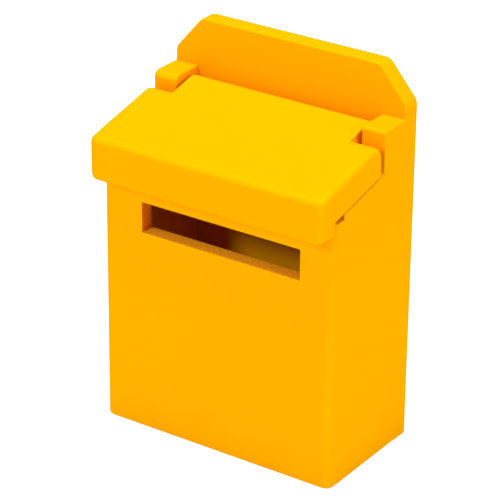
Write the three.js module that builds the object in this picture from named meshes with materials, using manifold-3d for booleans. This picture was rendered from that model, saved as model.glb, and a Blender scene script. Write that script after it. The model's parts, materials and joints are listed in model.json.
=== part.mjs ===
// A small wall letterbox of painted board: a box with a letter slot, a slanted lid that turns on
// hidden pins between two upright ears, and a taller back board with clipped top corners.
// Millimetres, +Z up, the letter slot faces -Y. The origin is the middle of the bounding box's underside.
// Inside the file, x = 0 is the middle, y = 0 is the front panel's face and z = 0 is the underside.
import * as THREE from 'three';
import { mergeVertices } from 'three/addons/utils/BufferGeometryUtils.js';
import Module from 'manifold-3d';

const wasm = await Module();
wasm.setup();

// Driving dimensions of the box
const bodyWidth = 190;
const bodyDepth = 101.8;
const sideFrontHeight = 203.9;
const frontThickness = 11.5;
const sideThickness = 19;
const backThickness = 18;
const bottomThickness = 12;
const frontDrop = 3.9;
const earDepth = 24;
const earRise = 31.8;
const backRise = 34.6;
const clipWidth = 22.2;
const clipHeight = 26;

// Letter slot
const slotHeight = 22.4;
const slotDrop = 24.6;
const slotLeftMargin = 33.5;
const slotRightMargin = 27.1;

// Lid
const lidSlope = THREE.MathUtils.degToRad(12.7);
const lidThickness = 23;
const lipThickness = 15;
const lipOverlap = 11.4;
const lipGap = 0.6;
const tongueSideGap = 4;
const tongueShift = 0.3;
const tongueGap = 1.1;
const earGap = 2.3;

// Hinge axis: how far it lies in front of the back board and under the lid's upper face
const hingeToBack = 10;
const hingeDepth = 6;
const pinRadius = 2.5;
const pinInEar = 12;
const pinInTongue = 14;

// Roundings
const frontRound = 6;
const boardRound = 1.5;
const backRound = 3;
const clipRound = 4;
const earFrontRound = 6;
const earTopRound = 3;
const earEdgeRound = 1.5;
const lidRound = 5.5;
const rimMargin = 0.5;
const lidUnderRound = 1.5;
const tongueRearRound = 5.5;
const tongueSideRound = 1;

// Dowels and screws
const dowelRadius = 3;
const dowelLength = 28;
const dowelChamfer = 0.8;
const dowelInFront = 7.5;
const dowelInLip = 9;
const dowelInSide = 10;
const screwLength = 45;
const screwRadius = 2;
const screwTipLength = 5;
const headRadius = 4;
const recessWidth = 0.9;
const recessReach = 2.2;
const recessDepth = 1.6;
const edgeShare = 0.12;
const rowCount = 3;
const pairCount = 2;

// Holes for hanging the box on a wall
const mountHoleRadius = 2.5;
const mountSinkRadius = 5;
const mountSpacing = 100;
const mountDrop = 35.2;

// Clearances
const glueLine = 0.02;
const lipJoint = 0.05;
const fit = 0.3;
const lidRest = 0.3;
const overrun = 1;
const mergeTolerance = 1e-4;

// Steps of an arc, of a round bore and of a turned piece
const arcSteps = 3;
const roundSides = 20;

// Sizes that follow from the driving dimensions
const half = bodyWidth / 2;
const innerHalf = half - sideThickness;
const backFace = bodyDepth - backThickness;
const earFront = backFace - earDepth;
const slope = Math.tan(lidSlope);
const lidHigh = hingeDepth / Math.cos(lidSlope);
const lidLow = lidHigh - lidThickness / Math.cos(lidSlope);
const sideTop = (y) => sideFrontHeight + slope * (y - frontThickness);
const frontHeight = sideFrontHeight - frontDrop;
const earHeight = sideTop(earFront) + earRise;
const backHeight = earHeight + backRise;
const mountHeight = sideTop(backFace) - mountDrop;
const hingeY = backFace - hingeToBack;
const hinge = new THREE.Vector3(0, hingeY, sideTop(hingeY) + lidRest / Math.cos(lidSlope) - lidLow);
const lipBack = -lipGap;
const lipFront = lipBack - lipThickness;
const lipBottom = frontHeight - lipOverlap;
const tongueWidth = 2 * (innerHalf - tongueSideGap);
const slotLeft = slotLeftMargin - half;
const slotRight = half - slotRightMargin;
const slotTop = frontHeight - slotDrop;

// Materials
const paint = new THREE.MeshStandardMaterial({ color: 0xffb000, roughness: 0.38, metalness: 0 });
const beech = new THREE.MeshStandardMaterial({ color: 0xd9b27c, roughness: 0.7, metalness: 0 });
const steel = new THREE.MeshStandardMaterial({ color: 0xb9bcc0, roughness: 0.35, metalness: 1 });

// An outline through corners [u, v, radius], each rounded by an arc where it has a radius.
function outline(corners) {
  const shape = new THREE.Shape();
  corners.forEach(([u, v, radius = 0], index) => {
    const corner = new THREE.Vector2(u, v);
    const previous = new THREE.Vector2(...corners.at(index - 1).slice(0, 2)).sub(corner).normalize();
    const next = new THREE.Vector2(...corners[(index + 1) % corners.length].slice(0, 2)).sub(corner).normalize();
    const halfAngle = Math.acos(previous.dot(next)) / 2;
    const centre = previous.clone().add(next).setLength(radius / Math.sin(halfAngle)).add(corner);
    const reach = radius / Math.tan(halfAngle);
    const start = previous.clone().multiplyScalar(reach).add(corner).sub(centre).angle();
    const end = next.clone().multiplyScalar(reach).add(corner).sub(centre).angle();
    const first = [centre.x + radius * Math.cos(start), centre.y + radius * Math.sin(start)];
    if (index === 0) shape.moveTo(...first);
    else shape.lineTo(...first);
    if (radius > 0) shape.absarc(centre.x, centre.y, radius, start, end, previous.cross(next) > 0);
  });
  shape.closePath();
  return shape;
}

// Turns that lay an outline's u, v and its extrusion along the object's axes.
const turns = {
  x: new THREE.Matrix4().makeBasis(
    new THREE.Vector3(0, 1, 0), new THREE.Vector3(0, 0, 1), new THREE.Vector3(1, 0, 0)),
  y: new THREE.Matrix4().makeBasis(
    new THREE.Vector3(1, 0, 0), new THREE.Vector3(0, 0, 1), new THREE.Vector3(0, -1, 0)),
  z: new THREE.Matrix4(),
};

// The outline drawn in y and z, x and z, or x and y, extruded along the third axis from low to high,
// with its rims rounded where a rim radius is given, and then placed by a matrix if there is one. A
// rounded corner is never tighter than the rim that runs round it.
function extrude(axis, low, high, corners, { rim = 0, placement } = {}) {
  const eased = corners.map(([u, v, radius = 0]) => [u, v, radius && Math.max(radius, rim + rimMargin)]);
  const geometry = new THREE.ExtrudeGeometry(outline(eased), {
    depth: high - low - 2 * rim, curveSegments: arcSteps, bevelEnabled: rim > 0,
    bevelThickness: rim, bevelSize: rim, bevelOffset: -rim, bevelSegments: arcSteps,
  });
  geometry.translate(0, 0, rim);
  geometry.applyMatrix4(turns[axis]);
  geometry.translate(axis === 'x' ? low : 0, axis === 'y' ? high : 0, axis === 'z' ? low : 0);
  if (placement) geometry.applyMatrix4(placement);
  return toSolid(geometry);
}

// A rectangle's corners, anticlockwise from low u and v, with the radii of the four corners.
function rectangle(lowU, lowV, highU, highV, radii = [0, 0, 0, 0]) {
  return [
    [lowU, lowV, radii[0]],
    [highU, lowV, radii[1]],
    [highU, highV, radii[2]],
    [lowU, highV, radii[3]],
  ];
}

// A turned solid about the Z axis from its half profile [radius, z], which starts and ends on the axis.
function lathe(profile) {
  const points = profile.map(([radius, z]) => new THREE.Vector2(radius, z));
  const geometry = new THREE.LatheGeometry(points, roundSides);
  geometry.rotateX(Math.PI / 2);
  return geometry;
}

function cylinder(radius, low, high) {
  return lathe([[0, low], [radius, low], [radius, high], [0, high]]);
}

function toSolid(geometry) {
  const bare = geometry.clone();
  bare.deleteAttribute('normal');
  bare.deleteAttribute('uv');
  const merged = mergeVertices(bare, mergeTolerance);
  return new wasm.Manifold(new wasm.Mesh({
    numProp: 3,
    vertProperties: merged.attributes.position.array,
    triVerts: Uint32Array.from(merged.index.array),
  }));
}

function toGeometry(solid) {
  const { vertProperties, triVerts } = solid.getMesh();
  const geometry = new THREE.BufferGeometry();
  geometry.setAttribute('position', new THREE.BufferAttribute(Float32Array.from(vertProperties), 3));
  geometry.setIndex(new THREE.BufferAttribute(Uint32Array.from(triVerts), 1));
  geometry.computeVertexNormals();
  return geometry;
}

// A round tool or piece along an axis, from a place towards the axis's positive end.
const along = { x: [0, Math.PI / 2, 0], y: [-Math.PI / 2, 0, 0], z: [0, 0, 0] };

function bore(axis, place, length, radius) {
  const geometry = cylinder(radius, 0, length);
  geometry.applyMatrix4(new THREE.Matrix4().makeRotationFromEuler(new THREE.Euler(...along[axis])));
  geometry.translate(...place);
  return toSolid(geometry);
}

function named(name, geometry, material) {
  const mesh = new THREE.Mesh(geometry, material);
  mesh.name = name;
  return mesh;
}

// Places of the dowels and screws, from the boards that they join
const dowelBore = dowelRadius + fit;
const spread = (low, high, count) => Array.from({ length: count },
  (_, index) => low + (high - low) * index / (count - 1));
const sideHeights = spread(sideFrontHeight * edgeShare, sideFrontHeight * (1 - edgeShare), rowCount);
const bottomDepths = spread(frontThickness + earDepth, backFace - earDepth, pairCount);
const lipPlaces = spread(-half + bodyWidth * edgeShare, half - bodyWidth * edgeShare, rowCount);
const bottomPlaces = spread(-innerHalf / 2, innerHalf / 2, pairCount);
const sideMiddle = half - sideThickness / 2;
const bottomMiddle = bottomThickness / 2;
const lipDowelHeight = hinge.z + (lidHigh + lidLow) / 2 + slope * (lipBack - hinge.y);
const dowelInEdge = dowelLength - dowelInFront;
const sides = [['left', -1], ['right', 1]];

// The back board: full height, its top corners clipped and its rims rounded where they stand free.
// Below the ears' tops its front half stays square, because the side panels butt against it there.
function backBoard() {
  const face = [
    [-half, 0],
    [half, 0],
    [half, backHeight - clipHeight, clipRound],
    [half - clipWidth, backHeight, clipRound],
    [-half + clipWidth, backHeight, clipRound],
    [-half, backHeight - clipHeight, clipRound],
  ];
  const seat = rectangle(-half, 0, half, earHeight - earTopRound);
  let board = extrude('y', backFace, bodyDepth, face, { rim: backRound })
    .add(extrude('y', backFace, backFace + backThickness / 2, seat));
  for (const x of spread(-mountSpacing / 2, mountSpacing / 2, pairCount)) {
    const throat = bore('y', [x, backFace - overrun, mountHeight], backThickness + 2 * overrun, mountHoleRadius);
    const sink = countersink([x, backFace, mountHeight], 1, mountSinkRadius, mountHoleRadius);
    board = board.subtract(throat).subtract(sink);
  }
  for (const { x, z } of backScrewPlaces()) {
    const throat = bore('y', [x, backFace - overrun, z], backThickness + 2 * overrun, screwRadius + fit);
    const sink = countersink([x, bodyDepth, z], -1, headRadius + fit, screwRadius + fit);
    board = board.subtract(throat).subtract(sink);
  }
  return named('back_board', toGeometry(board), paint);
}

// A cone that sinks a screw head into a face, wide at the face and narrow below it. The direction is
// +1 where the cone goes in along +Y and -1 where it goes in along -Y.
function countersink([x, y, z], direction, wide, narrow) {
  const depth = wide - narrow;
  const geometry = lathe([[0, -overrun], [wide, -overrun], [wide, fit], [narrow, fit + depth], [0, fit + depth]]);
  geometry.rotateX(-direction * Math.PI / 2);
  geometry.translate(x, y, z);
  return toSolid(geometry);
}

function backScrewPlaces() {
  const atSides = sides.flatMap(([side, sign]) => sideHeights.map((z, index) => ({
    name: `back_screw_${side}_${index + 1}`, x: sign * sideMiddle, z,
  })));
  const atBottom = sides.map(([side], index) => ({
    name: `bottom_screw_${side}`, x: bottomPlaces[index], z: bottomMiddle,
  }));
  return [...atSides, ...atBottom];
}

// A side panel: its top edge slopes up to the rear and ends in an upright ear that holds the hinge pin.
function sidePanel(name, sign) {
  const [low, high] = sign < 0 ? [-half, -innerHalf] : [innerHalf, half];
  const y0 = frontThickness + glueLine;
  const y1 = backFace - glueLine;
  const wall = extrude('x', low, high, [
    [y0, 0], [y1, 0], [y1, sideTop(y1)], [y0, sideTop(y0), boardRound],
  ]);
  const root = sideTop(earFront) - sideThickness;
  const plan = rectangle(low, earFront, high, y1, [earEdgeRound, earEdgeRound, 0, 0]);
  const profile = rectangle(earFront, root, y1, earHeight, [0, 0, 0, earFrontRound]);
  const front = rectangle(low, root, high, earHeight, [0, 0, earTopRound, earTopRound]);
  const ear = extrude('z', root, earHeight, plan)
    .intersect(extrude('x', low, high, profile))
    .intersect(extrude('y', earFront, y1, front));
  let panel = wall.add(ear);
  for (const z of sideHeights) {
    panel = panel.subtract(bore('y', [sign * sideMiddle, y0 - overrun, z], dowelInEdge + overrun + fit, dowelBore));
  }
  for (const z of sideHeights) {
    const length = screwLength - backThickness + fit + overrun;
    panel = panel.subtract(bore('y', [sign * sideMiddle, y1 + overrun - length, z], length, screwRadius + fit));
  }
  for (const y of bottomDepths) {
    const start = sign < 0 ? -innerHalf - dowelInSide - fit : innerHalf - overrun;
    panel = panel.subtract(bore('x', [start, y, bottomMiddle], dowelInSide + fit + overrun, dowelBore));
  }
  const pinStart = sign < 0 ? -innerHalf - pinInEar - fit : innerHalf - overrun;
  panel = panel.subtract(bore('x', [pinStart, hinge.y, hinge.z], pinInEar + fit + overrun, pinRadius + fit));
  return named(name, toGeometry(panel), paint);
}

// The front panel: rounded at its two outer upright edges, with the letter slot cut through it.
function frontPanel() {
  const plan = rectangle(-half, 0, half, frontThickness, [frontRound, frontRound, 0, 0]);
  const section = rectangle(0, 0, frontThickness, frontHeight, [boardRound, 0, 0, boardRound]);
  const slot = rectangle(slotLeft, slotTop - slotHeight, slotRight, slotTop);
  let panel = extrude('z', 0, frontHeight, plan)
    .intersect(extrude('x', -half - overrun, half + overrun, section))
    .subtract(extrude('y', -overrun, frontThickness + overrun, slot));
  for (const [, sign] of sides) {
    for (const z of sideHeights) {
      const start = frontThickness - dowelInFront - fit;
      panel = panel.subtract(bore('y', [sign * sideMiddle, start, z], dowelInFront + fit + overrun, dowelBore));
    }
  }
  return named('front_panel', toGeometry(panel), paint);
}

// The bottom is set in between the four walls, flush with their undersides.
function bottomPanel() {
  const x1 = innerHalf - glueLine;
  const y0 = frontThickness + glueLine;
  const y1 = backFace - glueLine;
  let panel = extrude('z', 0, bottomThickness, rectangle(-x1, y0, x1, y1));
  const inPanel = dowelLength - dowelInSide + fit;
  for (const [, sign] of sides) {
    for (const y of bottomDepths) {
      const start = sign < 0 ? -x1 - overrun : x1 - inPanel;
      panel = panel.subtract(bore('x', [start, y, bottomMiddle], inPanel + overrun, dowelBore));
    }
  }
  for (const x of bottomPlaces) {
    const length = screwLength - backThickness + fit + overrun;
    panel = panel.subtract(bore('y', [x, y1 + overrun - length, bottomMiddle], length, screwRadius + fit));
  }
  return named('bottom_panel', toGeometry(panel), paint);
}

// The lid's pieces are drawn level, with the hinge axis as their origin, and sheared to the slope, so
// that their ends stay upright.
const slopeShear = new THREE.Matrix4().makeShear(0, 0, 0, slope, 0, 0);
const lidFront = lipFront - hinge.y;
const lidRear = earFront - earGap - hinge.y;
const lidPlan = rectangle(-half, lidFront, half, lidRear, [lidRound, lidRound, lidRound, lidRound]);

// The lid's outer form from above, rounded along its upper rim and far longer downwards than it is thick.
function lidBlank() {
  return extrude('z', lidHigh - bodyWidth, lidHigh, lidPlan, { rim: lidRound, placement: slopeShear });
}

// The lid board: as wide as the box in front of the ears, with a tongue that runs back between them.
function lidBoard() {
  const front = lipBack + lipJoint - hinge.y;
  const rear = hingeToBack - tongueGap;
  const underside = { rim: lidUnderRound, placement: slopeShear };
  const wide = lidBlank()
    .intersect(extrude('z', lidLow, lidHigh + bodyWidth, lidPlan, underside))
    .intersect(extrude('x', -half, half, rectangle(front, lidLow - bodyWidth, rear, lidHigh + bodyWidth)));
  const tongueLeft = tongueShift - tongueWidth / 2;
  const tongueRight = tongueShift + tongueWidth / 2;
  const tongueProfile = rectangle(lidRear - lidThickness, lidLow, rear, lidHigh, [0, 0, tongueRearRound, 0]);
  const tongue = extrude('x', tongueLeft, tongueRight, tongueProfile, { rim: tongueSideRound, placement: slopeShear });
  let board = wide.add(tongue);
  const pinBore = pinInTongue + fit;
  for (const start of [tongueLeft - overrun, tongueRight - pinBore]) {
    board = board.subtract(bore('x', [start, 0, 0], pinBore + overrun, pinRadius + fit));
  }
  const dowelInBoard = dowelLength - dowelInLip + fit;
  for (const x of lipPlaces) {
    const place = [x, front - overrun, lipDowelHeight - hinge.z];
    board = board.subtract(bore('y', place, dowelInBoard + overrun, dowelBore));
  }
  return named('lid_board', toGeometry(board), paint);
}

// The lip hangs upright along the lid's front edge. Its upper face and side edges carry on the lid's.
function lidLip() {
  const bottom = lipBottom - hinge.z;
  const back = lipBack - hinge.y;
  let lip = lidBlank()
    .intersect(extrude('z', bottom, lidHigh + lipThickness, lidPlan, { rim: lidRound }))
    .intersect(extrude('x', -half, half, rectangle(lidFront, bottom, back, lidHigh)));
  for (const x of lipPlaces) {
    const place = [x, back - dowelInLip - fit, lipDowelHeight - hinge.z];
    lip = lip.subtract(bore('y', place, dowelInLip + fit + overrun, dowelBore));
  }
  return named('lid_front_lip', toGeometry(lip), paint);
}

// A smooth wooden dowel with chamfered ends, from its place along the axis.
function dowel(name, axis, place) {
  const neck = dowelRadius - dowelChamfer;
  const geometry = lathe([
    [0, 0], [neck, 0], [dowelRadius, dowelChamfer],
    [dowelRadius, dowelLength - dowelChamfer], [neck, dowelLength], [0, dowelLength],
  ]);
  const mesh = named(name, geometry, beech);
  mesh.rotation.set(...along[axis]);
  mesh.position.set(...place);
  return mesh;
}

// A hinge pin lies across the gap between an ear and the tongue's end.
function hingePin(name, sign) {
  const tongueEnd = tongueShift + sign * tongueWidth / 2;
  const outer = sign * (innerHalf + pinInEar);
  const inner = tongueEnd - sign * pinInTongue;
  const geometry = lathe([
    [0, 0], [pinRadius - dowelChamfer, 0], [pinRadius, dowelChamfer],
    [pinRadius, Math.abs(outer - inner) - dowelChamfer],
    [pinRadius - dowelChamfer, Math.abs(outer - inner)], [0, Math.abs(outer - inner)],
  ]);
  const mesh = named(name, geometry, steel);
  mesh.rotation.set(...along.x);
  mesh.position.set(Math.min(outer, inner), hinge.y, hinge.z);
  return mesh;
}

// A countersunk screw, driven forwards from the back board's rear face, with a cross recess in its head.
function backScrew({ name, x, z }) {
  const body = lathe([
    [0, 0], [headRadius, 0], [screwRadius, headRadius - screwRadius],
    [screwRadius, screwLength - screwTipLength], [0, screwLength - fit],
  ]);
  const arm = (width, reach) => toSolid(new THREE.BoxGeometry(width, reach, 2 * recessDepth));
  const head = toSolid(body)
    .subtract(arm(recessWidth, 2 * recessReach))
    .subtract(arm(2 * recessReach, recessWidth));
  const mesh = named(name, toGeometry(head), steel);
  mesh.rotation.x = Math.PI / 2;
  mesh.position.set(x, bodyDepth - fit, z);
  return mesh;
}

const box = new THREE.Group();
box.add(backBoard(), frontPanel(), bottomPanel());
for (const [side, sign] of sides) {
  box.add(sidePanel(`${side}_side_panel`, sign));
  box.add(hingePin(`${side}_hinge_pin`, sign));
  sideHeights.forEach((z, index) => box.add(
    dowel(`front_dowel_${side}_${index + 1}`, 'y', [sign * sideMiddle, frontThickness - dowelInFront, z])));
  bottomDepths.forEach((y, index) => {
    const start = sign < 0 ? -innerHalf - dowelInSide : innerHalf + dowelInSide - dowelLength;
    box.add(dowel(`bottom_dowel_${side}_${index + 1}`, 'x', [start, y, bottomMiddle]));
  });
}
for (const place of backScrewPlaces()) box.add(backScrew(place));

const lid = new THREE.Group();
lid.position.copy(hinge);
lid.add(lidBoard(), lidLip());
lipPlaces.forEach((x, index) => lid.add(
  dowel(`lip_dowel_${index + 1}`, 'y', [x, lipBack - dowelInLip - hinge.y, lipDowelHeight - hinge.z])));

const mailbox = new THREE.Group();
mailbox.position.y = -(bodyDepth + lipFront) / 2;
mailbox.add(box, lid);

export default mailbox;
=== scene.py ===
"""A small wall letterbox of painted board, with a letter slot and a slanted lid that turns on hidden pins.

Lengths are in metres, +Z is up and the letter slot faces -Y. Each visible board is modelled again round its
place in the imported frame, with rounded edges and a sprayed paint finish."""

import json
import math

import bmesh
import bpy
from bpy.props import FloatProperty, FloatVectorProperty, PointerProperty
from mathutils import Matrix, Vector


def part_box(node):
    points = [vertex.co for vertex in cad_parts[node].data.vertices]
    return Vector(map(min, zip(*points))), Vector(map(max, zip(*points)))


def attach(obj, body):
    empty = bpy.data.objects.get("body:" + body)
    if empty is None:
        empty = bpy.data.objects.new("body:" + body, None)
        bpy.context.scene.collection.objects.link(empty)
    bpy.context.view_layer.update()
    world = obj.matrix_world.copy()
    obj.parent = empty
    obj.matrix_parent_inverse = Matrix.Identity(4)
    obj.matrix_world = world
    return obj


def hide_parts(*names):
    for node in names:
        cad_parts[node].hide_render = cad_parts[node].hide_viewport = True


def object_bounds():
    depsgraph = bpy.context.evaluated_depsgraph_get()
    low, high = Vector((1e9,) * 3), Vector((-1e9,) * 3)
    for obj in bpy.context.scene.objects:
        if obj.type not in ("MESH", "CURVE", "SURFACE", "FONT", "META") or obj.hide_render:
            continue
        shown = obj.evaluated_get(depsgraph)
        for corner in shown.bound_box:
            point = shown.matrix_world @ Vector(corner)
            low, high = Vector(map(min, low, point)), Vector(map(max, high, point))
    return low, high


bl_info = {
    "name": "Painted letterbox",
    "version": (1, 0, 0),
    "blender": (4, 5, 0),
    "location": "3D View > Sidebar > Letterbox",
    "description": "Models a painted board letterbox with a hinged lid around its packed frame",
    "category": "Add Mesh",
}

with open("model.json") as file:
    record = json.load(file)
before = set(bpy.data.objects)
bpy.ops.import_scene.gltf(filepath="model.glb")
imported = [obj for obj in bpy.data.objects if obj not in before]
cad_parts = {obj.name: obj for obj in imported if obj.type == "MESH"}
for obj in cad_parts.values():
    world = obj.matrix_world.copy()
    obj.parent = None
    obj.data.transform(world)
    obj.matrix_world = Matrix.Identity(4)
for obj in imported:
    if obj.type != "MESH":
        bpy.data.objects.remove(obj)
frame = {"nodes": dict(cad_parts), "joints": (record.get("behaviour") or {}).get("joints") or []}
CAD_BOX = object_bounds()

# Places of the boards, from the frame
BACK_LOW, BACK_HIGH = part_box("back_board")
FRONT_LOW, FRONT_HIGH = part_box("front_panel")
BOTTOM_LOW, BOTTOM_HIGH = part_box("bottom_panel")
SIDE_LOW, SIDE_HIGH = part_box("right_side_panel")
LID_LOW, LID_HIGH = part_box("lid_board")
LIP_LOW, LIP_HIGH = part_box("lid_front_lip")
HINGE = Vector(frame["joints"][0]["pos_m"])
HALF_WIDTH = BACK_HIGH.x
INNER_HALF = SIDE_LOW.x

# Steps of a rounded edge, and sides of a turned piece
FINE_STEPS = 8
SMALL_STEPS = 4
ROUND_SIDES = 48

# Two places this close are the same, and a cutter reaches this far past the face that it cuts
SAME = 1e-5
OVERRUN = 1e-4

# Edges that turn by more than this are sharp, and the layer that holds their share of a rounding
SHARP_ANGLE = math.radians(35)
WEIGHT = "bevel_weight_edge"

# Kinds of socket, and the noises of the finishes
COLOUR = "NodeSocketColor"
VALUE = "NodeSocketFloat"
VECTOR = "NodeSocketVector"
CLOUD_DETAIL = 4
RIPPLE_DETAIL = 3
GRAIN_DETAIL = 5
NOISE_MIDDLE = 0.5
WHITE = (1, 1, 1, 1)

# A millimetre in the scene's metres, and the width of the camera's sensor in millimetres
MILLIMETRE = 0.001
SENSOR_WIDTH = 36


def length(name, description, default):
    """A length property, given in millimetres and kept in metres."""
    return FloatProperty(name=name, description=description, default=default * MILLIMETRE,
                         subtype="DISTANCE", unit="LENGTH", min=0)


def angle(name, description, degrees):
    """An angle property, given in degrees and kept in radians."""
    return FloatProperty(name=name, description=description, default=math.radians(degrees),
                         subtype="ANGLE", unit="ROTATION")


def tone(name, description, default):
    """A colour property."""
    return FloatVectorProperty(name=name, description=description, default=default, size=4,
                               subtype="COLOR", min=0, max=1)


def share(name, description, default):
    """A property for a share of something, mostly between 0 and 1."""
    return FloatProperty(name=name, description=description, default=default, subtype="FACTOR",
                         min=0, soft_max=1)


def power(name, description, default):
    """A property for the power of a lamp in watts."""
    return FloatProperty(name=name, description=description, default=default, subtype="POWER",
                         unit="POWER", min=0)


class LetterboxBoards(bpy.types.PropertyGroup):
    """Sizes of the fixed boards and the fastenings that the frame doesn't give."""

    slot_left: length("Slot left margin", "From the left side to the letter slot", 33.5)
    slot_right: length("Slot right margin", "From the letter slot to the right side", 27.1)
    slot_height: length("Slot height", "Height of the letter slot", 22.4)
    slot_drop: length("Slot drop", "From the front panel's top to the slot", 24.6)
    slot_round: length("Slot edge rounding", "Radius of the slot's rim", 0.7)
    clip_width: length("Clip width", "Width of a clipped top corner", 22.2)
    clip_height: length("Clip height", "Height of a clipped top corner", 26)
    clip_round: length("Clip rounding", "Radius where a clipped corner begins and ends", 3.5)
    back_round: length("Back rounding", "Radius of the back board's rear rims", 3)
    brow_round: length("Back front rounding", "Radius of the back board's front rims above the ears", 1.6)
    brow_step: length("Back front step", "Height over which that rounding begins beside an ear's top", 0.375)
    front_round: length("Front rounding", "Radius of the front panel's upright edges", 6)
    edge_round: length("Front edge rounding", "Radius of the front's other edges and a slope's end", 1.5)
    back_inset: length("Back inset", "How far the back board's front face lies behind its solid's", 2.6)
    ear_depth: length("Ear depth", "Depth of an ear in front of the back board", 26)
    ear_drop: length("Ear drop", "How far the ears' tops lie below their solids'", 1.2)
    left_ear_round: length("Left ear rounding", "Radius of the left ear's upper front edge", 5)
    right_ear_round: length("Right ear rounding", "Radius of the right ear's upper front edge", 2.4)
    ear_rim: length("Ear rim rounding", "Radius along an ear's sides and top", 1)
    slope_round: length("Slope rounding", "Radius along a side panel's slope, and round the bottom", 1)
    side_height: length("Side height", "Height of a side panel at its front end", 203.9)
    hole_radius: length("Mounting hole radius", "Radius of the two holes for the wall screws", 2.5)
    hole_sink: length("Mounting hole sink", "Radius of a mounting hole's countersink", 5)
    hole_spacing: length("Mounting hole spacing", "Distance between the two holes", 100)
    hole_height: length("Mounting hole height", "Height of the two holes", 185)
    screw_radius: length("Screw radius", "Radius of a screw's shank", 2)
    head_radius: length("Screw head radius", "Radius of a countersunk screw head", 4)
    tip: length("Screw tip", "Length of a screw's pointed end", 5)
    recess_reach: length("Recess reach", "From the middle of a screw head to the end of its cross", 2.2)
    recess_width: length("Recess width", "Width of the cross in a screw head", 0.9)
    recess_depth: length("Recess depth", "Depth of the cross in a screw head", 1.6)
    pin_radius: length("Pin radius", "Radius of a hinge pin", 2.5)
    pin_chamfer: length("Pin chamfer", "Chamfer on a hinge pin's ends", 0.8)
    fit: length("Fit", "Play of a screw or a pin in its bore", 0.3)


class LetterboxLid(bpy.types.PropertyGroup):
    """Sizes of the lid and its lip."""

    slope: angle("Lid slope", "How steeply the lid falls towards the front", 12.7)
    thickness: length("Lid thickness", "Thickness of the lid board", 23)
    ear_gap: length("Gap to the ears", "Gap between the lid's rear ends and the ears", 3.1)
    hinge_depth: length("Hinge depth", "From the lid's upper face to the hinge axis", 6)
    front_round: length("Front rim rounding", "Radius of the lip's upper front edge", 4)
    side_round: length("Side rim rounding", "Radius of the upper rim along the lid's sides", 4.5)
    rear_round: length("Rear rim rounding", "Radius of the lid's upper rear edges", 9)
    upright_round: length("Rear corner rounding", "Radius of the wings' upright rear corners", 2.5)
    under_round: length("Underside rounding", "Radius of the lid's lower rim", 1.5)
    lip_raise: length("Lip raise", "How far the lip's lower edge lies above its solid's", 1.6)
    lip_corner: length("Lip corner rounding", "Radius of the lip's upright front corners", 6)
    lip_lower: length("Lip lower corners", "Radius of the lip's lower corners, seen from the front", 6)
    lip_edge: length("Lip lower edge", "Radius of the lip's lower front edge", 2)
    lip_joint: length("Lip joint rounding", "Radius of the lip's rear edges, at its joint with the lid", 0.5)
    tongue_width: length("Tongue width", "Width of the tongue between the ears", 145.8)
    tongue_shift: FloatProperty(name="Tongue shift", description="How far the tongue lies to the right",
                                default=-0.3 * MILLIMETRE, subtype="DISTANCE", unit="LENGTH")
    tongue_edge: length("Tongue side rounding", "Radius of the tongue's side edges", 0.8)
    tongue_root: length("Tongue root", "How far the tongue's block reaches into the lid board", 20)


class LetterboxPaint(bpy.types.PropertyGroup):
    """Colours and grain of the finishes."""

    paint: tone("Paint", "Colour of the sprayed paint", (0.98, 0.435, 0.0, 1))
    # Lighter, yellower paint on the slot's long edges: the sawn grain under the paint, and painted light on
    # the sill
    cut_paint_and_light: tone("Paint on the slot's long edges", "Colour of the paint on sawn edges", (1, 0.5, 0.02, 1))
    # Darker, redder paint in the slot's short ends: the end grain under the paint, and painted shade in the
    # slot's ends
    end_paint_and_shade: tone("Paint in the slot's ends", "Colour of the paint in the end grain", (0.92, 0.22, 0.0, 1))
    roughness: share("Paint roughness", "Roughness of the sprayed paint", 0.4)
    gleam: share("Paint gleam", "Share of the gloss that takes the paint's own colour", 0.08)
    specular: share("Paint specular", "Specular level of the paint, beside its gleam", 0)
    edge_gleam: tone("Paint edge gleam", "Colour of the gleam at a glancing view", (1, 0.6, 0.05, 1))
    mottle: share("Paint mottle", "How much the paint's colour varies", 0.03)
    mottle_size: length("Paint mottle size", "Width of the clouds in the paint's colour", 55)
    peel: length("Orange peel size", "Width of the ripples in the paint", 3)
    peel_depth: length("Orange peel depth", "Height of the ripples in the paint", 0.014)
    cut_roughness: share("Cut edge roughness", "Roughness of the paint on sawn edges", 0.6)
    cut_mottle: share("Cut edge mottle", "How much the paint's colour varies on sawn edges", 1.4)
    cut_grain: length("Cut edge grain", "Width of the grain on sawn edges under the paint", 1.5)
    cut_depth: length("Cut edge depth", "Height of the grain on sawn edges", 0.1)
    beech: tone("Beech", "Colour of the dowels", (0.69, 0.45, 0.22, 1))
    beech_streak: tone("Beech streaks", "Colour of the beech's darker grain", (0.5, 0.29, 0.12, 1))
    beech_roughness: share("Beech roughness", "Roughness of the beech's lighter grain", 0.55)
    beech_grain: length("Beech grain width", "Width of the streaks in the beech", 0.6667)
    beech_run: length("Beech grain length", "Length of the streaks in the beech", 8.3333)
    beech_depth: length("Beech grain depth", "Height of the grain on the beech", 0.05)
    zinc: tone("Zinc", "Colour of the screws and pins", (0.66, 0.67, 0.69, 1))
    zinc_bloom: tone("Zinc bloom", "Colour of the duller plating", (0.5, 0.51, 0.52, 1))
    zinc_roughness: share("Zinc roughness", "Roughness of the brighter plating", 0.25)
    zinc_patch: length("Zinc patches", "Width of the patches in the plating", 1.1111)
    zinc_depth: length("Zinc relief", "Height of the patches in the plating", 0.005)
    dulling: share("Dulling", "How much rougher beech and zinc are where they are darkest", 0.2)


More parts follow.
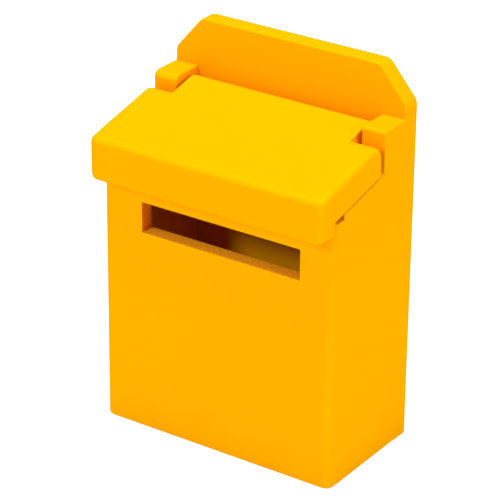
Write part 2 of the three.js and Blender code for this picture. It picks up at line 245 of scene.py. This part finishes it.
class LetterboxStage(bpy.types.PropertyGroup):
    """Camera, lamps and floor."""

    azimuth: angle("Camera azimuth", "Angle of the camera round the box, from the front", 34.0653)
    elevation: angle("Camera elevation", "Angle of the camera above the horizon", 25.6736)
    roll: angle("Camera roll", "Turn of the camera about its own axis", 0.5934)
    distance: length("Camera distance", "From the camera to the point that it looks at", 1856.29)
    lens: FloatProperty(name="Lens", description="Focal length in millimetres", default=185.34,
                        subtype="DISTANCE_CAMERA", unit="CAMERA", min=0)
    lamp_size: length("Lamp size", "Width of each soft lamp", 1200)
    key_size: length("Key lamp size", "Width of the smaller lamp in front", 450)
    lamp_distance: length("Lamp distance", "From the middle of the box to each lamp", 2600)
    key: power("Key lamp", "Power of the smaller lamp in front", 24.5)
    low: power("Low lamp", "Power of the low soft lamp in front", 7.5)
    right: power("Right lamp", "Power of the low soft lamp at the right", 30)
    top: power("Top lamp", "Power of the soft lamp overhead", 61)
    left: power("Left lamp", "Power of the soft lamp at the upper left", 6)
    rear: power("Rear lamp", "Power of the soft lamp behind", 24)
    ambient: share("Ambient", "Strength of the light from all round", 0.02)
    floor_reach: length("Floor reach", "From the middle of the floor to its sides", 20000)
    glow: share("Floor glow", "How bright the floor looks where no lamp reaches it", 0.55)
    floor: tone("Floor", "Colour of the floor", (0.85, 0.85, 0.85, 1))


def near(value, place):
    """Whether a value lies at a place."""
    return abs(value - place) < SAME


def back_front():
    """Depth of the back board's front face."""
    return BACK_LOW.y + bpy.context.scene.letterbox_boards.back_inset


def ear_front():
    """Depth of the ears' front faces."""
    return back_front() - bpy.context.scene.letterbox_boards.ear_depth


def ear_top():
    """Height of the ears' tops."""
    return SIDE_HIGH.z - bpy.context.scene.letterbox_boards.ear_drop


def lid_level(y):
    """Height of the lid's upper face at a depth."""
    sizes = bpy.context.scene.letterbox_lid
    return HINGE.z + sizes.hinge_depth / math.cos(sizes.slope) + math.tan(sizes.slope) * (y - HINGE.y)


def screw_places():
    """The X and Z of each screw in the back board, by the name of its node."""
    places = {}
    for name in frame["nodes"]:
        if "screw" in name:
            low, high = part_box(name)
            places[name] = ((low.x + high.x) / 2, (low.z + high.z) / 2)
    return places


def between(start, end, way):
    """The value at a part of the way from start to end, no further than either."""
    return start + (end - start) * min(max(way, 0), 1)


def prism(corners, reach):
    """A closed solid: the flat outline through the corners, extruded by the vector reach."""
    bm = bmesh.new()
    face = bm.faces.new([bm.verts.new(corner) for corner in corners])
    grown = bmesh.ops.extrude_face_region(bm, geom=[face])
    moved = [item for item in grown["geom"] if isinstance(item, bmesh.types.BMVert)]
    bmesh.ops.translate(bm, vec=reach, verts=moved)
    bmesh.ops.recalc_face_normals(bm, faces=bm.faces)
    return bm


def block(low, high):
    """A closed box from its lowest to its highest corner."""
    corners = [(low.x, low.y, low.z), (high.x, low.y, low.z),
               (high.x, high.y, low.z), (low.x, high.y, low.z)]
    return prism(corners, (0, 0, high.z - low.z))


def turned(profile, start, axis):
    """A closed solid turned from (radius, distance) pairs, whose axis leads from the start."""
    bm = bmesh.new()
    points = [bm.verts.new((radius, 0, distance)) for radius, distance in profile]
    edges = [bm.edges.new(pair) for pair in zip(points, points[1:])]
    bmesh.ops.spin(bm, geom=points + edges, cent=(0, 0, 0), axis=(0, 0, 1), angle=math.tau,
                   steps=ROUND_SIDES, use_merge=True)
    bmesh.ops.remove_doubles(bm, verts=bm.verts, dist=SAME)
    bmesh.ops.recalc_face_normals(bm, faces=bm.faces)
    place = Matrix.Translation(start) @ Vector(axis).to_track_quat("Z", "Y").to_matrix().to_4x4()
    bmesh.ops.transform(bm, matrix=place, verts=bm.verts)
    return bm


def mesh_of(bm, name):
    """A mesh with the shape of the bmesh."""
    mesh = bpy.data.meshes.new(name)
    bm.to_mesh(mesh)
    return mesh


def show(name, data):
    """A new object in the scene that shows the data."""
    shown = bpy.data.objects.new(name, data)
    bpy.context.scene.collection.objects.link(shown)
    return shown


def discard(holder):
    """Takes a passing object away with its mesh."""
    mesh = holder.data
    bpy.data.objects.remove(holder)
    bpy.data.meshes.remove(mesh)


def shape(bm, kind, settings):
    """Puts the bmesh through one modifier with the settings."""
    holder = show("draft", mesh_of(bm, "draft"))
    modifier = holder.modifiers.new(kind, kind)
    for name, value in settings.items():
        setattr(modifier, name, value)
    bm.clear()
    bm.from_object(holder, bpy.context.evaluated_depsgraph_get())
    discard(holder)


def combine(bm, other, operation):
    """Joins the other closed solid to the first, or takes it away."""
    partner = show("draft", mesh_of(other, "draft"))
    other.free()
    shape(bm, "BOOLEAN", {"object": partner, "operation": operation, "solver": "EXACT"})
    discard(partner)


def ease(bm, radius, steps, chosen):
    """Rounds the sharp edges whose two ends pass the test."""
    edges = [edge for edge in bm.edges
             if edge.calc_face_angle(0) > SHARP_ANGLE and chosen(edge.verts[0].co, edge.verts[1].co)]
    bmesh.ops.bevel(bm, geom=edges, offset=radius, offset_type="OFFSET", segments=steps, profile=0.5,
                    affect="EDGES", clamp_overlap=True, material=-1)


def ease_by(bm, largest, radius):
    """Rounds each sharp edge by the radius that the rule gives for its ends, where 0 leaves it sharp."""
    weight = bm.edges.layers.float.new(WEIGHT)
    for edge in bm.edges:
        if edge.calc_face_angle(0) > SHARP_ANGLE:
            edge[weight] = radius(edge.verts[0].co, edge.verts[1].co) / largest
    shape(bm, "BEVEL", {"affect": "EDGES", "limit_method": "WEIGHT", "offset_type": "OFFSET",
                        "width": largest, "segments": FINE_STEPS, "profile": 0.5, "material": -1})
    bm.edges.layers.float.remove(bm.edges.layers.float[WEIGHT])


def cut(bm, point, normal):
    """Splits the faces along a plane, and keeps both sides."""
    bmesh.ops.bisect_plane(bm, geom=bm.verts[:] + bm.edges[:] + bm.faces[:], dist=SAME,
                           plane_co=point, plane_no=normal)


def countersunk(face, axis, wide, narrow, depth):
    """The space of a countersunk bore that starts at a place on a face, a little longer than the board."""
    end = depth + OVERRUN
    return turned([(0, -OVERRUN), (wide + OVERRUN, -OVERRUN), (narrow, wide - narrow), (narrow, end),
                   (0, end)], face, axis)


def pin_bore(node):
    """The space round a hinge pin, which its bores in an ear and in the tongue give it."""
    sizes = bpy.context.scene.letterbox_boards
    low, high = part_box(node)
    radius = sizes.pin_radius + sizes.fit
    span = high.x - low.x + 2 * sizes.fit
    return turned([(0, 0), (radius, 0), (radius, span), (0, span)],
                  (low.x - sizes.fit, HINGE.y, HINGE.z), (1, 0, 0))


def finish_piece(bm, name, body, node, materials):
    """Turns a bmesh into a piece that rides on its body and stands for its node."""
    bmesh.ops.remove_doubles(bm, verts=bm.verts, dist=SAME)
    bmesh.ops.recalc_face_normals(bm, faces=bm.faces)
    mesh = mesh_of(bm, name)
    bm.free()
    mesh.shade_smooth()
    mesh.set_sharp_from_angle(angle=SHARP_ANGLE)
    for material in materials:
        mesh.materials.append(material)
    piece = show(name, mesh)
    weighted = piece.modifiers.new("Even shading", "WEIGHTED_NORMAL")
    weighted.keep_sharp = True
    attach(piece, body)
    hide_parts(node)


def add_node(tree, kind, feeds, **settings):
    """A node with its settings, whose sockets take plain values or other nodes' outputs."""
    node = tree.nodes.new(kind)
    for name, value in settings.items():
        setattr(node, name, value)
    for socket, value in feeds.items():
        if isinstance(value, bpy.types.NodeSocket):
            tree.links.new(value, node.inputs[socket])
        else:
            node.inputs[socket].default_value = value
    return node


def open_group(name, inputs):
    """A shader node group with the inputs and outputs of a surface, and what its input node gives."""
    group = bpy.data.node_groups.new(name, "ShaderNodeTree")
    for socket, kind in inputs.items():
        group.interface.new_socket(socket, in_out="INPUT", socket_type=kind)
    for socket, kind in (("Colour", COLOUR), ("Roughness", VALUE), ("Normal", VECTOR)):
        group.interface.new_socket(socket, in_out="OUTPUT", socket_type=kind)
    return group, group.nodes.new("NodeGroupInput").outputs


def close_group(group, colour, roughness, height, depth):
    """Puts out a surface's colour, its roughness and the normal of its relief."""
    bump = add_node(group, "ShaderNodeBump", {"Height": height, "Distance": depth})
    add_node(group, "NodeGroupOutput", {"Colour": colour, "Roughness": roughness, "Normal": bump.outputs[0]})
    return group


def sprayed_film():
    """Paint sprayed on board: faint mottle, orange peel and, on sawn edges, a raised grain."""
    found = bpy.data.node_groups.get("Sprayed film")
    if found:
        return found
    group, given = open_group("Sprayed film", {
        "Colour": COLOUR, "Mottle": VALUE, "Mottle scale": VALUE, "Relief scale": VALUE,
        "Relief depth": VALUE, "Roughness": VALUE})
    place = add_node(group, "ShaderNodeTexCoord", {}).outputs["Object"]
    cloud = add_node(group, "ShaderNodeTexNoise",
                     {"Vector": place, "Scale": given["Mottle scale"], "Detail": CLOUD_DETAIL})
    centred = add_node(group, "ShaderNodeMath", {0: cloud.outputs["Fac"], 1: NOISE_MIDDLE},
                       operation="SUBTRACT")
    swing = add_node(group, "ShaderNodeMath", {0: centred.outputs[0], 1: given["Mottle"], 2: 1},
                     operation="MULTIPLY_ADD").outputs[0]
    tint = add_node(group, "ShaderNodeVectorMath", {0: given["Colour"], "Scale": swing}, operation="SCALE")
    dull = add_node(group, "ShaderNodeMath", {0: swing, 1: given["Roughness"]}, operation="MULTIPLY")
    ripple = add_node(group, "ShaderNodeTexNoise",
                      {"Vector": place, "Scale": given["Relief scale"], "Detail": RIPPLE_DETAIL})
    return close_group(group, tint.outputs[0], dull.outputs[0], ripple.outputs["Fac"], given["Relief depth"])


def streaks():
    """Streaks or patches between two colours, as the grain of wood or the bloom on plated steel."""
    found = bpy.data.node_groups.get("Streaks")
    if found:
        return found
    group, given = open_group("Streaks", {
        "Light": COLOUR, "Dark": COLOUR, "Scale": VECTOR, "Roughness": VALUE, "Dulling": VALUE,
        "Relief depth": VALUE})
    place = add_node(group, "ShaderNodeTexCoord", {})
    drawn = add_node(group, "ShaderNodeVectorMath", {0: place.outputs["Object"], 1: given["Scale"]},
                     operation="MULTIPLY")
    grain = add_node(group, "ShaderNodeTexNoise",
                     {"Vector": drawn.outputs[0], "Scale": 1, "Detail": GRAIN_DETAIL}).outputs["Fac"]
    blend = add_node(group, "ShaderNodeMix", {"Factor": grain, "A": given["Light"], "B": given["Dark"]},
                     data_type="RGBA")
    dull = add_node(group, "ShaderNodeMath", {0: grain, 1: given["Dulling"], 2: given["Roughness"]},
                    operation="MULTIPLY_ADD")
    return close_group(group, blend.outputs["Result"], dull.outputs[0], grain, given["Relief depth"])


def group_material(name, group, values, constants):
    """A material with the shader's own constants, whose other values come from a node group."""
    material = bpy.data.materials.new(name)
    material.use_nodes = True
    tree = material.node_tree
    shader = tree.nodes["Principled BSDF"]
    surface = add_node(tree, "ShaderNodeGroup", values, node_tree=group)
    for output, socket in (("Colour", "Base Color"), ("Roughness", "Roughness"), ("Normal", "Normal")):
        tree.links.new(surface.outputs[output], shader.inputs[socket])
    for socket, value in constants.items():
        shader.inputs[socket].default_value = value
    return material


def face_paint():
    """Paint on the boards' sanded faces."""
    look = bpy.context.scene.letterbox_paint
    return bpy.data.materials.get("Orange paint") or group_material(
        "Orange paint", sprayed_film(),
        {"Colour": look.paint, "Mottle": look.mottle, "Mottle scale": 1 / look.mottle_size,
         "Relief scale": 1 / look.peel, "Relief depth": look.peel_depth, "Roughness": look.roughness},
        {"Metallic": look.gleam, "Specular IOR Level": look.specular, "Specular Tint": look.edge_gleam})


def sawn_paint(name, colour):
    """Paint that has sunk into a sawn edge and left its grain rough, in a given colour that on the slot's
    long edges also holds painted light and in its ends painted shade.
    """
    look = bpy.context.scene.letterbox_paint
    return bpy.data.materials.get(name) or group_material(
        name, sprayed_film(),
        {"Colour": colour, "Mottle": look.cut_mottle, "Mottle scale": 1 / look.cut_grain,
         "Relief scale": 1 / look.cut_grain, "Relief depth": look.cut_depth,
         "Roughness": look.cut_roughness},
        {"Specular IOR Level": look.specular})


def beech():
    """Bare turned beech, with its grain along Y."""
    look = bpy.context.scene.letterbox_paint
    across = 1 / look.beech_grain
    return bpy.data.materials.get("Beech") or group_material(
        "Beech", streaks(),
        {"Light": look.beech, "Dark": look.beech_streak, "Scale": (across, 1 / look.beech_run, across),
         "Roughness": look.beech_roughness, "Dulling": look.dulling, "Relief depth": look.beech_depth}, {})


def zinc():
    """Zinc plated steel."""
    look = bpy.context.scene.letterbox_paint
    return bpy.data.materials.get("Zinc plated steel") or group_material(
        "Zinc plated steel", streaks(),
        {"Light": look.zinc, "Dark": look.zinc_bloom, "Scale": Vector((1, 1, 1)) / look.zinc_patch,
         "Roughness": look.zinc_roughness, "Dulling": look.dulling, "Relief depth": look.zinc_depth},
        {"Metallic": 1})


class LETTERBOX_OT_back_board(bpy.types.Operator):
    """Back board: clipped top corners, rounded rims and countersunk holes for its screws"""

    bl_idname = "letterbox.back_board"
    bl_label = "Back board"

    def execute(self, context):
        sizes = context.scene.letterbox_boards
        low, high = Vector((BACK_LOW.x, back_front(), BACK_LOW.z)), BACK_HIGH
        outline = [(low.x, low.z), (high.x, low.z), (high.x, high.z - sizes.clip_height),
                   (high.x - sizes.clip_width, high.z), (low.x + sizes.clip_width, high.z),
                   (low.x, high.z - sizes.clip_height)]
        bm = prism([(x, low.y, z) for x, z in outline], (0, high.y - low.y, 0))
        clip = high.z - sizes.clip_height - SAME
        ease(bm, sizes.clip_round, FINE_STEPS, lambda a, b: near(a.x, b.x) and near(a.z, b.z) and a.z > clip)
        # The front rims are rounded only from the ears' tops upwards
        start = ear_top() - sizes.ear_rim
        for place in (start - sizes.brow_step, start):
            cut(bm, (0, 0, place), (0, 0, 1))
        ease(bm, sizes.back_round, FINE_STEPS, lambda a, b: near(a.y, high.y) and near(b.y, high.y))
        ease(bm, sizes.brow_round, SMALL_STEPS,
             lambda a, b: near(a.y, low.y) and near(b.y, low.y) and min(a.z, b.z) > start - SAME)
        thickness = high.y - low.y
        for x in (-sizes.hole_spacing / 2, sizes.hole_spacing / 2):
            combine(bm, countersunk((x, low.y, sizes.hole_height), (0, 1, 0), sizes.hole_sink,
                                    sizes.hole_radius, thickness), "DIFFERENCE")
        for x, z in screw_places().values():
            combine(bm, countersunk((x, high.y, z), (0, -1, 0), sizes.head_radius + sizes.fit,
                                    sizes.screw_radius + sizes.fit, thickness), "DIFFERENCE")
        finish_piece(bm, "back_board_painted", "box", "back_board", [face_paint()])
        return {"FINISHED"}


class LETTERBOX_OT_side_panels(bpy.types.Operator):
    """Side panels: a sloping top edge and an upright ear that holds the hinge pin"""

    bl_idname = "letterbox.side_panels"
    bl_label = "Side panels"

    def execute(self, context):
        sizes = context.scene.letterbox_boards
        slope = math.tan(context.scene.letterbox_lid.slope)
        front, rear, ear, top = FRONT_HIGH.y, back_front(), ear_front(), ear_top()
        foot = sizes.side_height + slope * (ear - front)
        outline = [(front, 0), (rear, 0), (rear, top), (ear, top), (ear, foot), (front, sizes.side_height)]

        def radius(a, b):
            """The rounding of a side panel's edge, which is 0 at its joints with the other boards."""
            if not near(a.x, b.x) or near(a.y, b.y) and (near(a.y, rear) or near(a.y, front)):
                return 0
            if min(a.z, b.z) > foot - SAME and min(a.y, b.y) > ear - SAME:
                return sizes.ear_rim
            return sizes.slope_round

        for side, start, ear_round in (("left", -HALF_WIDTH, sizes.left_ear_round),
                                       ("right", INNER_HALF, sizes.right_ear_round)):
            bm = prism([(start, y, z) for y, z in outline], (HALF_WIDTH - INNER_HALF, 0, 0))
            for rounding, y, z in ((ear_round, ear, top), (sizes.edge_round, front, sizes.side_height)):
                ease(bm, rounding, FINE_STEPS,
                     lambda a, b: near(a.y, y) and near(b.y, y) and near(a.z, z) and near(b.z, z))
            ease_by(bm, sizes.ear_rim, radius)
            combine(bm, pin_bore(side + "_hinge_pin"), "DIFFERENCE")
            name = side + "_side_panel"
            finish_piece(bm, name + "_painted", "box", name, [face_paint()])
        return {"FINISHED"}


class LETTERBOX_OT_front_panel(bpy.types.Operator):
    """Front panel: rounded upright edges and the letter slot, whose sawn edges show under the paint, with
    partly painted light on the slot's long edges and partly painted shade in its ends
    """

    bl_idname = "letterbox.front_panel"
    bl_label = "Front panel"

    # Places of the slot's two paints among the panel's materials: the long edges' lighter paint is partly
    # painted light, the ends' darker paint partly painted shade
    SAWN_AND_LIT = 1
    END_GRAIN_AND_SHADE = 2

    def execute(self, context):
        sizes = context.scene.letterbox_boards
        look = context.scene.letterbox_paint
        low, high = FRONT_LOW, FRONT_HIGH
        left, right = low.x + sizes.slot_left, high.x - sizes.slot_right
        top = high.z - sizes.slot_drop
        bottom = top - sizes.slot_height
        bm = block(low, high)
        ease(bm, sizes.front_round, FINE_STEPS,
             lambda a, b: near(a.x, b.x) and near(a.y, low.y) and near(b.y, low.y))
        for level in (low.z, high.z):
            ease(bm, sizes.edge_round, SMALL_STEPS, lambda a, b: near(a.z, level) and near(b.z, level)
                 and min(a.y, b.y) < high.y - SAME)
        # The slot is marked on both faces and opened, and its reveal joins the two rims
        for place in (left, right):
            cut(bm, (place, 0, 0), (1, 0, 0))
        for place in (bottom, top):
            cut(bm, (0, 0, place), (0, 0, 1))
        inside = [face for face in bm.faces if left < face.calc_center_median().x < right
                  and bottom < face.calc_center_median().z < top]
        bmesh.ops.delete(bm, geom=inside, context="FACES")
        rim = [edge for edge in bm.edges if edge.is_boundary]
        reveal = bmesh.ops.bridge_loops(bm, edges=rim)
        # The long edges take the lighter paint, partly painted light on the sill; the ends take the darker
        # paint, partly painted shade
        for face in reveal["faces"]:
            place = face.calc_center_median().x
            at_end = near(place, left) or near(place, right)
            face.material_index = self.END_GRAIN_AND_SHADE if at_end else self.SAWN_AND_LIT
        ease(bm, sizes.slot_round, SMALL_STEPS, lambda a, b: near(a.y, b.y) and all(
            left - SAME < co.x < right + SAME and bottom - SAME < co.z < top + SAME for co in (a, b)))
        finish_piece(bm, "front_panel_painted", "box", "front_panel",
                     [face_paint(), sawn_paint("Paint on sawn edge", look.cut_paint_and_light),
                      sawn_paint("Paint on end grain", look.end_paint_and_shade)])
        return {"FINISHED"}


class LETTERBOX_OT_bottom_panel(bpy.types.Operator):
    """Bottom panel, set in between the four walls"""

    bl_idname = "letterbox.bottom_panel"
    bl_label = "Bottom panel"

    def execute(self, context):
        sizes = context.scene.letterbox_boards
        bm = block(BOTTOM_LOW, BOTTOM_HIGH + Vector((0, sizes.back_inset, 0)))
        ease(bm, sizes.slope_round, SMALL_STEPS, lambda a, b: near(a.z, b.z))
        finish_piece(bm, "bottom_panel_painted", "box", "bottom_panel", [face_paint()])
        return {"FINISHED"}


class LETTERBOX_OT_lid_board(bpy.types.Operator):
    """Lid board: as wide as the box in front of the ears, with a tongue between them for the hinge pins"""

    bl_idname = "letterbox.lid_board"
    bl_label = "Lid board"

    def execute(self, context):
        sizes = context.scene.letterbox_lid
        front, rear = LID_LOW.y, LID_HIGH.y
        ends = ear_front() - sizes.ear_gap
        top = lid_level(HINGE.y)
        low = top - sizes.thickness / math.cos(sizes.slope)
        bm = block(Vector((-HALF_WIDTH, front, low)), Vector((HALF_WIDTH, ends, top)))
        self.round_rear(bm, sizes, ends, top)

        def wing_radius(a, b):
            """The rounding of a wing's edge, which shrinks from the rim to the upright rear corners."""
            if near(a.y, front) and near(b.y, front):
                return 0
            if near(a.z, low) and near(b.z, low):
                return sizes.under_round
            return between(sizes.side_round, sizes.upright_round, (top - (a.z + b.z) / 2) / sizes.rear_round)

        ease_by(bm, sizes.side_round, wing_radius)
        half = sizes.tongue_width / 2
        tongue = block(Vector((sizes.tongue_shift - half, ends - sizes.tongue_root, low)),
                       Vector((sizes.tongue_shift + half, rear, top)))
        self.round_rear(tongue, sizes, rear, top)
        ease_by(tongue, sizes.tongue_edge,
                lambda a, b: 0 if max(a.y, b.y) < ends - sizes.tongue_root + SAME else sizes.tongue_edge)
        combine(bm, tongue, "UNION")
        # The lid is built level, then sloped about the hinge's axis, and bored last
        shear = Matrix.Identity(4)
        shear[2][1] = math.tan(sizes.slope)
        shear[2][3] = -shear[2][1] * HINGE.y
        bmesh.ops.transform(bm, matrix=shear, verts=bm.verts)
        for side in ("left", "right"):
            combine(bm, pin_bore(side + "_hinge_pin"), "DIFFERENCE")
        finish_piece(bm, "lid_board_painted", "lid", "lid_board", [face_paint()])
        return {"FINISHED"}

    def round_rear(self, bm, sizes, rear, top):
        """Rounds a block's upper rear edge, before the block is sloped."""
        ease(bm, sizes.rear_round, FINE_STEPS, lambda a, b: near(a.y, rear) and near(b.y, rear)
             and near(a.z, top) and near(b.z, top))


class LETTERBOX_OT_lid_lip(bpy.types.Operator):
    """Lip that hangs upright along the lid's front edge, rounded all round"""

    bl_idname = "letterbox.lid_lip"
    bl_label = "Lid lip"

    def execute(self, context):
        sizes = context.scene.letterbox_lid
        low, high = LIP_LOW + Vector((0, 0, sizes.lip_raise)), LIP_HIGH
        outline = [(low.y, low.z), (high.y, low.z), (high.y, lid_level(high.y)),
                   (low.y, lid_level(low.y))]
        bm = prism([(low.x, y, z) for y, z in outline], (high.x - low.x, 0, 0))
        ease(bm, sizes.lip_lower, FINE_STEPS,
             lambda a, b: near(a.x, b.x) and near(a.z, low.z) and near(b.z, low.z))

        def radius(a, b):
            """The rounding of the lip's edge, which grows from its lower edge to its upright corners."""
            on_top = all(near(co.z, lid_level(co.y)) for co in (a, b))
            if near(a.y, low.y) and near(b.y, low.y):
                if on_top:
                    return sizes.front_round
                return between(sizes.lip_edge, sizes.lip_corner, ((a.z + b.z) / 2 - low.z) / sizes.lip_lower)
            if near(a.y, high.y) and near(b.y, high.y):
                return 0
            return sizes.side_round

        ease_by(bm, sizes.lip_corner, radius)
        # The rear edges get a fine rounding up to where the upper rim's begins
        shoulder = lid_level(high.y) - sizes.side_round
        ease(bm, sizes.lip_joint, SMALL_STEPS,
             lambda a, b: near(a.y, high.y) and near(b.y, high.y)
             and max(a.z, b.z) < shoulder + sizes.lip_joint)
        finish_piece(bm, "lid_lip_painted", "lid", "lid_front_lip", [face_paint()])
        return {"FINISHED"}


class LETTERBOX_OT_fastenings(bpy.types.Operator):
    """Dowels, countersunk screws and hinge pins"""

    bl_idname = "letterbox.fastenings"
    bl_label = "Fastenings"

    def execute(self, context):
        for name, node in frame["nodes"].items():
            if "dowel" in name:
                # A dowel keeps its own solid and only gets its wood
                node.data.materials.clear()
                node.data.materials.append(beech())
            elif "screw" in name:
                self.screw(context.scene.letterbox_boards, name)
            elif "pin" in name:
                self.pin(context.scene.letterbox_boards, name)
        return {"FINISHED"}

    def screw(self, sizes, name):
        """A countersunk screw with a cross recess and a pointed end."""
        low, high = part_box(name)
        x, z = screw_places()[name]
        span = high.y - low.y
        head, shank = sizes.head_radius, sizes.screw_radius
        bm = turned([(0, 0), (head, 0), (shank, head - shank), (shank, span - sizes.tip), (0, span)],
                    (x, high.y, z), (0, -1, 0))
        reach, half = sizes.recess_reach, sizes.recess_width / 2
        for wide, tall in ((reach, half), (half, reach)):
            slit = block(Vector((x - wide, high.y - sizes.recess_depth, z - tall)),
                         Vector((x + wide, high.y + sizes.recess_depth, z + tall)))
            combine(bm, slit, "DIFFERENCE")
        finish_piece(bm, name + "_turned", "box", name, [zinc()])

    def pin(self, sizes, name):
        """A hinge pin with chamfered ends."""
        low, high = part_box(name)
        span = high.x - low.x
        neck = sizes.pin_radius - sizes.pin_chamfer
        bm = turned([(0, 0), (neck, 0), (sizes.pin_radius, sizes.pin_chamfer),
                     (sizes.pin_radius, span - sizes.pin_chamfer), (neck, span), (0, span)],
                    (low.x, HINGE.y, HINGE.z), (1, 0, 0))
        finish_piece(bm, name + "_turned", "box", name, [zinc()])


def facing(azimuth, elevation):
    """The direction from the box towards a place at an azimuth and elevation."""
    return Vector((math.sin(azimuth) * math.cos(elevation), -math.cos(azimuth) * math.cos(elevation),
                   math.sin(elevation)))


def seen_directly(tree):
    """1 where the camera, a reflection or a clear piece sees a surface, and 0 for soft light."""
    path = add_node(tree, "ShaderNodeLightPath", {}).outputs
    seen = add_node(tree, "ShaderNodeMath", {0: path["Is Camera Ray"], 1: path["Is Glossy Ray"]},
                    operation="MAXIMUM")
    seen = add_node(tree, "ShaderNodeMath", {0: seen.outputs[0], 1: path["Is Transmission Ray"]},
                    operation="MAXIMUM")
    return seen.outputs[0]


class LETTERBOX_OT_stage(bpy.types.Operator):
    """Camera, soft lamps, pale floor and world"""

    bl_idname = "letterbox.stage"
    bl_label = "Stage"

    # The point that the camera looks at
    AIM = Vector((-39.106, 56.514, 106.535)) * MILLIMETRE

    # Each lamp's name, its azimuth and elevation in degrees, and the property that holds its size
    LAMPS = (("key", -15, 32.5, "key_size"), ("low", -20, 6, "lamp_size"), ("right", 88, 20, "lamp_size"),
             ("top", 0, 88, "lamp_size"), ("left", -90, 65, "lamp_size"), ("rear", 180, 15, "lamp_size"))

    def execute(self, context):
        look = context.scene.letterbox_stage
        self.camera(context, look)
        for name, azimuth, elevation, size in self.LAMPS:
            away = facing(math.radians(azimuth), math.radians(elevation))
            self.lamp(look, name, getattr(look, size), away)
        self.floor(look)
        self.world(context, look)
        context.scene.view_settings.view_transform = "Standard"
        return {"FINISHED"}

    def camera(self, context, look):
        """The camera, turned towards its aim and then about its own axis."""
        back = facing(look.azimuth, look.elevation)
        right = Vector((math.cos(look.azimuth), math.sin(look.azimuth), 0))
        up = back.cross(right)
        turn = Matrix((right, up, back)).transposed().to_4x4()
        camera = bpy.data.cameras.new("Camera")
        camera.sensor_width = SENSOR_WIDTH
        camera.lens = look.lens
        view = show("Camera", camera)
        aimed = Matrix.Translation(self.AIM + back * look.distance) @ turn
        view.matrix_world = aimed @ Matrix.Rotation(look.roll, 4, "Z")
        context.scene.camera = view

    def lamp(self, look, name, size, away):
        """A soft square lamp that shines on the middle of the box from the direction away."""
        lamp = bpy.data.lights.new(name + "_lamp", "AREA")
        lamp.size = size
        lamp.energy = getattr(look, name)
        place = show(name + "_lamp", lamp)
        place.location = (CAD_BOX[0] + CAD_BOX[1]) / 2 + away * look.lamp_distance
        place.rotation_euler = away.to_track_quat("Z", "Y").to_euler()

    def floor(self, look):
        """A wide floor that keeps the shadow, and glows where it is seen directly."""
        bm = bmesh.new()
        bmesh.ops.create_grid(bm, x_segments=1, y_segments=1, size=look.floor_reach)
        mesh = mesh_of(bm, "floor")
        bm.free()
        material = bpy.data.materials.new("Pale floor")
        material.use_nodes = True
        tree = material.node_tree
        tree.nodes.remove(tree.nodes["Principled BSDF"])
        matt = add_node(tree, "ShaderNodeBsdfDiffuse", {"Color": look.floor})
        shine = add_node(tree, "ShaderNodeMath", {0: seen_directly(tree), 1: look.glow},
                         operation="MULTIPLY")
        glow = add_node(tree, "ShaderNodeEmission", {"Strength": shine.outputs[0]})
        total = add_node(tree, "ShaderNodeAddShader", {0: matt.outputs[0], 1: glow.outputs[0]})
        tree.links.new(total.outputs[0], tree.nodes["Material Output"].inputs["Surface"])
        mesh.materials.append(material)
        show("floor", mesh)

    def world(self, context, look):
        """A white world that gives only a faint light."""
        world = bpy.data.worlds.new("Studio")
        context.scene.world = world
        world.use_nodes = True
        tree = world.node_tree
        soft = tree.nodes["Background"]
        soft.inputs["Color"].default_value = WHITE
        soft.inputs["Strength"].default_value = look.ambient
        white = add_node(tree, "ShaderNodeBackground", {"Color": WHITE})
        mix = add_node(tree, "ShaderNodeMixShader",
                       {"Fac": seen_directly(tree), 1: soft.outputs[0], 2: white.outputs[0]})
        tree.links.new(mix.outputs[0], tree.nodes["World Output"].inputs["Surface"])


OPERATORS = (LETTERBOX_OT_back_board, LETTERBOX_OT_side_panels, LETTERBOX_OT_front_panel,
             LETTERBOX_OT_bottom_panel, LETTERBOX_OT_lid_board, LETTERBOX_OT_lid_lip,
             LETTERBOX_OT_fastenings, LETTERBOX_OT_stage)
GROUPS = (("letterbox_boards", LetterboxBoards), ("letterbox_lid", LetterboxLid),
          ("letterbox_paint", LetterboxPaint), ("letterbox_stage", LetterboxStage))


class LETTERBOX_PT_panel(bpy.types.Panel):
    """Sizes, finishes and pieces of the letterbox"""

    bl_idname = "LETTERBOX_PT_panel"
    bl_label = "Letterbox"
    bl_space_type = "VIEW_3D"
    bl_region_type = "UI"
    bl_category = "Letterbox"

    def draw(self, context):
        """The operators as buttons, and the properties of each group in a box."""
        for operator in OPERATORS:
            self.layout.operator(operator.bl_idname)
        for name, group in GROUPS:
            column = self.layout.box().column()
            for prop in group.__annotations__:
                column.prop(getattr(context.scene, name), prop)


def register():
    """Registers the classes, and the groups of properties on the scene."""
    for name, group in GROUPS:
        bpy.utils.register_class(group)
        setattr(bpy.types.Scene, name, PointerProperty(type=group))
    for kind in OPERATORS + (LETTERBOX_PT_panel,):
        bpy.utils.register_class(kind)


def unregister():
    """Takes all of them off again."""
    for kind in OPERATORS + (LETTERBOX_PT_panel,):
        bpy.utils.unregister_class(kind)
    for name, group in GROUPS:
        delattr(bpy.types.Scene, name)
        bpy.utils.unregister_class(group)


def main():
    """Builds the letterbox and its stage."""
    register()
    for operator in OPERATORS:
        category, name = operator.bl_idname.split(".")
        getattr(getattr(bpy.ops, category), name)()


if __name__ == "__main__":
    main()
